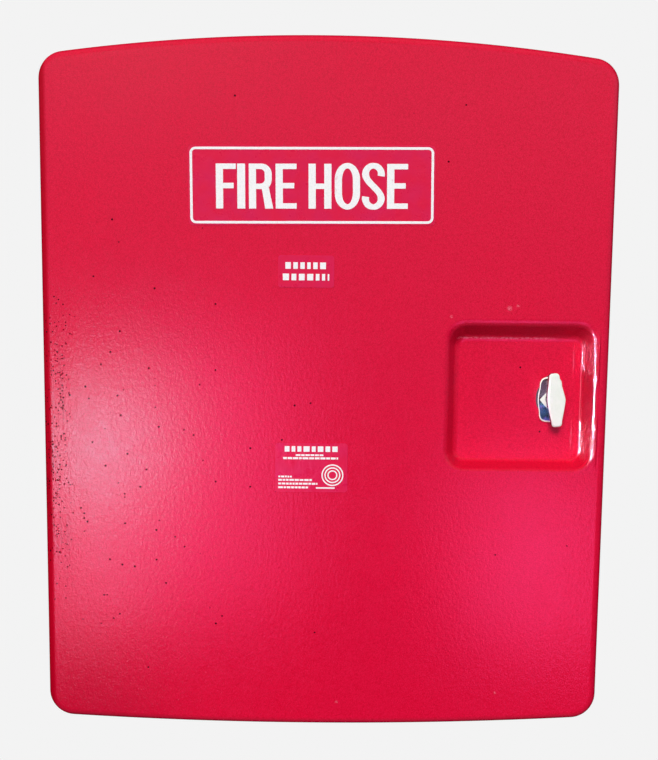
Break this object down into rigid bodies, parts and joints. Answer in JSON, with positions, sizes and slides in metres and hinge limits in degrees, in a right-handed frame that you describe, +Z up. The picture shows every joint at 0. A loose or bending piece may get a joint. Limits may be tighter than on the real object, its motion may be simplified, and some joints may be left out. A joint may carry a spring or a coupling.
{
  "type": "fire hose cabinet",
  "caption": "Moulded red fibreglass fire hose cabinet with an arched overlay door on a continuous side hinge, a quarter-turn T-handle latch in a recessed pocket, and a hose saddle inside.",
  "frame": {"origin": "centre of the body's flat underside, midway between its two sides", "axes": "+X to the right seen from the front, +Y to the back, towards the wall, +Z up; the door faces -Y"},
  "size_m": [0.7295, 0.2807, 0.8836],
  "materials": {
    "red_gelcoat": "glossy moulded fibreglass gelcoat",
    "black_rubber": "matt extruded rubber",
    "stainless_steel": "brushed stainless steel",
    "zinc_plated_steel": "bright zinc plate",
    "chrome": "polished chrome plate",
    "clear_vinyl": "clear printed vinyl film"
  },
  "bodies": {
    "cabinet": {"cabinet_body": "red_gelcoat", "front_frame": "red_gelcoat", "door_seal": "black_rubber", "hinge_leaf_body": "stainless_steel", "hinge_pin": "stainless_steel", "hinge_rivet_body_1": "stainless_steel", "hinge_rivet_body_2": "stainless_steel", "hinge_rivet_body_3": "stainless_steel", "hinge_rivet_body_4": "stainless_steel", "hinge_rivet_body_5": "stainless_steel", "hinge_rivet_body_6": "stainless_steel", "keeper_plate": "stainless_steel", "keeper_rivet_lower": "stainless_steel", "keeper_rivet_upper": "stainless_steel", "hose_saddle": "zinc_plated_steel", "saddle_bolt_1": "zinc_plated_steel", "saddle_nut_1": "zinc_plated_steel", "saddle_bolt_2": "zinc_plated_steel", "saddle_nut_2": "zinc_plated_steel", "saddle_bolt_3": "zinc_plated_steel", "saddle_nut_3": "zinc_plated_steel", "saddle_bolt_4": "zinc_plated_steel", "saddle_nut_4": "zinc_plated_steel", "mounting_strap_lower": "zinc_plated_steel", "mounting_strap_upper": "zinc_plated_steel", "nozzle_clip": "stainless_steel", "clip_rivet": "stainless_steel", "spanner_hook": "stainless_steel", "hook_rivet_lower": "stainless_steel", "hook_rivet_upper": "stainless_steel"},
    "door": {"door_shell": "red_gelcoat", "hinge_leaf_door": "stainless_steel", "hinge_rivet_door_1": "stainless_steel", "hinge_rivet_door_2": "stainless_steel", "hinge_rivet_door_3": "stainless_steel", "hinge_rivet_door_4": "stainless_steel", "hinge_rivet_door_5": "stainless_steel", "hinge_rivet_door_6": "stainless_steel", "latch_gasket": "black_rubber", "latch_escutcheon": "chrome", "latch_backing_plate": "stainless_steel", "latch_clamp_nut": "stainless_steel", "sign_film": "clear_vinyl", "notice_film": "clear_vinyl", "maker_film": "clear_vinyl"},
    "latch": {"latch_handle": "chrome", "latch_spindle": "zinc_plated_steel", "spindle_seal": "black_rubber", "latch_cam": "zinc_plated_steel", "cam_washer": "zinc_plated_steel", "cam_nut": "zinc_plated_steel"}
  },
  "joints": [
    {"name": "door_hinge", "type": "hinge", "parent": "cabinet", "child": "door", "pos_m": [-0.3641, -0.111, 0.43], "axis": [0, 0, -1], "range_deg": [0, 180]},
    {"name": "latch_turn", "type": "hinge", "parent": "door", "child": "latch", "pos_m": [0.2915, -0.144, 0.4353], "axis": [0, 1, 0], "range_deg": [0, 90]}
  ]
}
